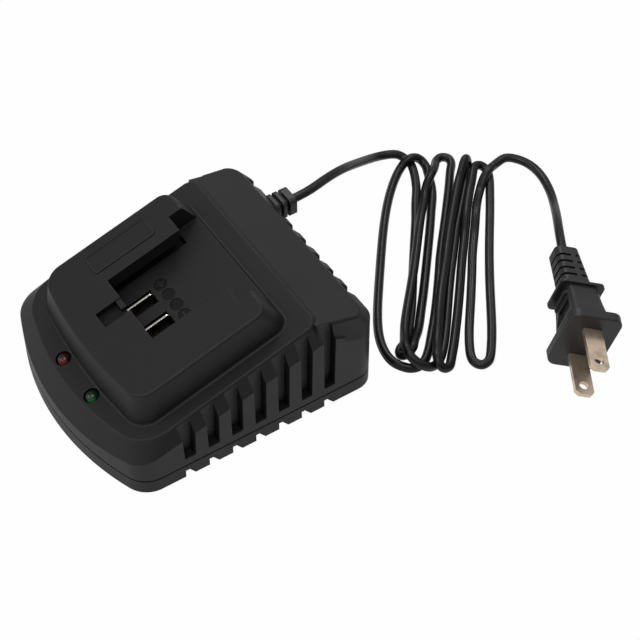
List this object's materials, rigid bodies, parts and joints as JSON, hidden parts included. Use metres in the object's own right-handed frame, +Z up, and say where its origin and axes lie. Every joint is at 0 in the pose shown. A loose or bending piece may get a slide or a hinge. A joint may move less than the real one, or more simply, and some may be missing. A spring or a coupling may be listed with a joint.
{
  "type": "power tool battery charger",
  "caption": "Corded battery charger for slide-in power tool packs: sloping housing with a rail dock, contact blades, status lights and louvres, and a coiled mains cord with its plug.",
  "frame": {"origin": "on the surface that the charger stands on, under the middle of its housing", "axes": "+Z up, +Y towards the rear wall, where the cord leaves and the battery slides in, +X to the right seen from the low front"},
  "size_m": [0.1338, 0.1983, 0.0456],
  "materials": {
    "housing_plastic": "fine moulded texture, semi-matt charcoal",
    "base_plastic": "fine moulded texture, semi-matt charcoal",
    "foot_rubber": "matt",
    "plate_foil": "satin, blank",
    "screw_steel": "plated",
    "label_foil": "satin black, blank, with a light border",
    "red_lens": "diffused lens",
    "green_lens": "diffused lens",
    "board_laminate": "solder resist over glass laminate",
    "terminal_plastic": "moulded",
    "contact_metal": "nickel plated",
    "core_ferrite": "sintered, matt",
    "winding_tape": "copper winding under yellow tape",
    "can_sleeve": "sleeved can",
    "film_case": "moulded case",
    "chip_epoxy": "moulded epoxy",
    "sink_aluminium": "extruded",
    "fuse_glass": "glass tube with plated caps",
    "choke_ferrite": "wound ferrite drum",
    "resistor_body": "lacquered",
    "grommet_rubber": "semi-matt",
    "wire_brown": "insulation",
    "wire_blue": "insulation",
    "clamp_plastic": "moulded",
    "plug_plastic": "moulded, semi-matt",
    "blade_brass": "nickel plated",
    "cord_jacket": "semi-gloss jacket"
  },
  "bodies": {
    "root": {"top_cover": "housing_plastic", "base_cover": "base_plastic", "rubber_feet": "foot_rubber", "rating_plate": "plate_foil", "housing_screws": "screw_steel", "dock_label": "label_foil", "red_led": "red_lens", "green_led": "green_lens", "circuit_board": "board_laminate", "board_screws": "screw_steel", "terminal_block": "terminal_plastic", "positive_terminal": "contact_metal", "negative_terminal": "contact_metal", "transformer_core": "core_ferrite", "transformer_winding": "winding_tape", "input_capacitor": "can_sleeve", "output_capacitors": "can_sleeve", "safety_capacitor": "film_case", "bridge_rectifier": "chip_epoxy", "control_chip": "chip_epoxy", "heat_sink": "sink_aluminium", "power_transistor": "chip_epoxy", "line_fuse": "fuse_glass", "line_choke": "choke_ferrite", "resistors": "resistor_body", "cord_grommet": "grommet_rubber", "live_wire": "wire_brown", "neutral_wire": "wire_blue", "cord_clamp": "clamp_plastic", "clamp_screws": "screw_steel", "plug_body": "plug_plastic", "plug_strain_relief": "plug_plastic", "plug_blade_live": "blade_brass", "plug_blade_neutral": "blade_brass", "cord_lead": "cord_jacket", "cord_tail": "cord_jacket", "cord_coil": "cord_jacket"}
  },
  "joints": []
}
